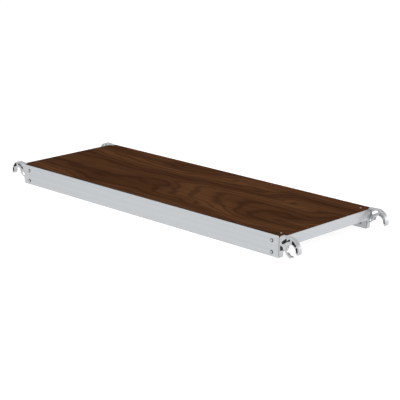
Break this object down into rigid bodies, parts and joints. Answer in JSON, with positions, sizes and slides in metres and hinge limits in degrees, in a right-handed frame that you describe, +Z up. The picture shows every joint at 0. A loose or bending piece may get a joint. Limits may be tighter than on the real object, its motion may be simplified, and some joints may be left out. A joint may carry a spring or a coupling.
{
  "type": "scaffold platform",
  "caption": "Scaffold working platform: plywood deck in an aluminium frame with cast rung claws at its corners and sprung wind-lock pawls.",
  "frame": {"origin": "midway between the ends and between the sides, at the undersides of the stringers", "axes": "+X along the platform, +Y across it, +Z up out of the deck"},
  "size_m": [1.884, 0.605, 0.098],
  "materials": {
    "plywood": "film-faced, satin",
    "mill_aluminium": "extruded, satin",
    "cast_aluminium": "as cast",
    "zinc_steel": "zinc plated",
    "pressed_steel": "zinc plated",
    "spring_steel": "plain",
    "rivet_aluminium": "satin"
  },
  "bodies": {
    "platform": {"deck_panel": "plywood", "stringer_front": "mill_aluminium", "stringer_back": "mill_aluminium", "end_beam_right": "mill_aluminium", "end_beam_left": "mill_aluminium", "cross_bearer_1": "mill_aluminium", "bearer_rivet_1_front": "rivet_aluminium", "bearer_rivet_1_back": "rivet_aluminium", "cross_bearer_2": "mill_aluminium", "bearer_rivet_2_front": "rivet_aluminium", "bearer_rivet_2_back": "rivet_aluminium", "cross_bearer_3": "mill_aluminium", "bearer_rivet_3_front": "rivet_aluminium", "bearer_rivet_3_back": "rivet_aluminium", "claw_front_right": "cast_aluminium", "claw_bolt_lower_front_right": "zinc_steel", "claw_nut_lower_front_right": "zinc_steel", "claw_bolt_upper_front_right": "zinc_steel", "claw_nut_upper_front_right": "zinc_steel", "beam_rivet_lower_front_right": "rivet_aluminium", "beam_rivet_upper_front_right": "rivet_aluminium", "deck_screw_front_right": "zinc_steel", "pawl_pin_front_right": "pressed_steel", "pawl_spring_front_right": "spring_steel", "claw_back_right": "cast_aluminium", "claw_bolt_lower_back_right": "zinc_steel", "claw_nut_lower_back_right": "zinc_steel", "claw_bolt_upper_back_right": "zinc_steel", "claw_nut_upper_back_right": "zinc_steel", "beam_rivet_lower_back_right": "rivet_aluminium", "beam_rivet_upper_back_right": "rivet_aluminium", "deck_screw_back_right": "zinc_steel", "claw_front_left": "cast_aluminium", "claw_bolt_lower_front_left": "zinc_steel", "claw_nut_lower_front_left": "zinc_steel", "claw_bolt_upper_front_left": "zinc_steel", "claw_nut_upper_front_left": "zinc_steel", "beam_rivet_lower_front_left": "rivet_aluminium", "beam_rivet_upper_front_left": "rivet_aluminium", "claw_back_left": "cast_aluminium", "claw_bolt_lower_back_left": "zinc_steel", "claw_nut_lower_back_left": "zinc_steel", "claw_bolt_upper_back_left": "zinc_steel", "claw_nut_upper_back_left": "zinc_steel", "beam_rivet_lower_back_left": "rivet_aluminium", "beam_rivet_upper_back_left": "rivet_aluminium", "pawl_pin_back_left": "pressed_steel", "pawl_spring_back_left": "spring_steel"},
    "pawl_front_right": {"pawl_front_right": "pressed_steel"},
    "pawl_back_left": {"pawl_back_left": "pressed_steel"}
  },
  "joints": [
    {"name": "pawl_swing_front_right", "type": "hinge", "parent": "platform", "child": "pawl_front_right", "pos_m": [0.86737, -0.2875, 0.06021], "axis": [0, 1, 0], "range_deg": [0, 40], "stiffness_Nm_per_rad": 0.06, "springref_deg": -57.3},
    {"name": "pawl_swing_back_left", "type": "hinge", "parent": "platform", "child": "pawl_back_left", "pos_m": [-0.86737, 0.2875, 0.06021], "axis": [0, -1, 0], "range_deg": [0, 40], "stiffness_Nm_per_rad": 0.06, "springref_deg": -57.3}
  ]
}
